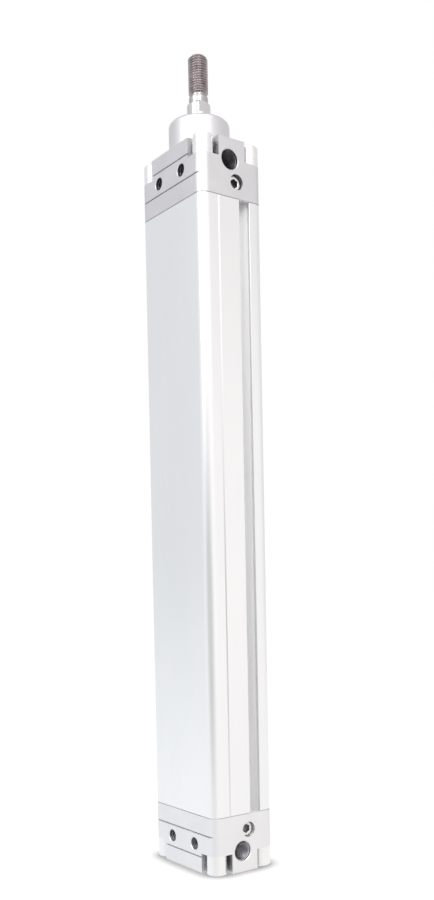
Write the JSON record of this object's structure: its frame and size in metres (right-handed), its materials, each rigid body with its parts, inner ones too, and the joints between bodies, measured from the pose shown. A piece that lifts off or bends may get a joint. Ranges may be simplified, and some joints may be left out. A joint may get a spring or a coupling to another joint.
{
  "type": "flat pneumatic cylinder",
  "caption": "Slim rectangular double-acting air cylinder with oval piston, threaded rod, side ports, adjustable cushioning and sensor slots.",
  "frame": {"origin": "centre of the rear cap's end face, on the rod's axis", "axes": "+Z along the rod, out of the front cap; X across the wide faces with the ports on +X; Y across the narrow sides"},
  "size_m": [0.0544, 0.0376, 0.4115],
  "materials": {
    "anodised_profile": "fine satin anodised extrusion",
    "cap_casting": "fine blasted and anodised",
    "plated_screws": "bright zinc plated",
    "cushion_screw_steel": "bright turned",
    "rod_steel": "ground and polished",
    "bush_bronze": "sintered, oiled",
    "nitrile_seals": "matt",
    "sliding_seals": "smooth polyurethane",
    "piston_aluminium": "turned",
    "magnet_compound": "matt",
    "guide_plastic": "smooth"
  },
  "bodies": {
    "housing": {"barrel": "anodised_profile", "front_cap": "cap_casting", "rear_cap": "cap_casting", "front_cap_screws": "plated_screws", "rear_cap_screws": "plated_screws", "front_cap_seal": "nitrile_seals", "rear_cap_seal": "nitrile_seals", "rod_bush": "bush_bronze", "rod_seal": "sliding_seals", "rod_wiper": "sliding_seals", "front_cushion_seal": "sliding_seals", "rear_cushion_seal": "sliding_seals"},
    "rod_and_piston": {"piston_rod": "rod_steel", "piston_rear_half": "piston_aluminium", "piston_front_half": "piston_aluminium", "piston_magnet": "magnet_compound", "piston_guide_band": "guide_plastic", "rear_piston_seal": "sliding_seals", "front_piston_seal": "sliding_seals", "rear_buffer": "nitrile_seals", "front_buffer": "nitrile_seals", "piston_rod_oring": "nitrile_seals", "front_cushion_sleeve": "piston_aluminium", "rear_cushion_sleeve": "piston_aluminium", "piston_nut": "plated_screws"},
    "front_adjuster": {"front_cushion_screw": "cushion_screw_steel", "front_cushion_screw_oring": "nitrile_seals"},
    "rear_adjuster": {"rear_cushion_screw": "cushion_screw_steel", "rear_cushion_screw_oring": "nitrile_seals"}
  },
  "joints": [
    {"name": "rod_slide", "type": "slide", "parent": "housing", "child": "rod_and_piston", "axis": [0, 0, 1], "range_m": [0, 0.25]},
    {"name": "front_cushion_turn", "type": "hinge", "parent": "housing", "child": "front_adjuster", "pos_m": [0.02, 0.0026, 0.3402], "axis": [1, 0, 0], "range_deg": [-450, 630]},
    {"name": "rear_cushion_turn", "type": "hinge", "parent": "housing", "child": "rear_adjuster", "pos_m": [0.02, 0.0026, 0.0208], "axis": [1, 0, 0], "range_deg": [-450, 630]}
  ]
}
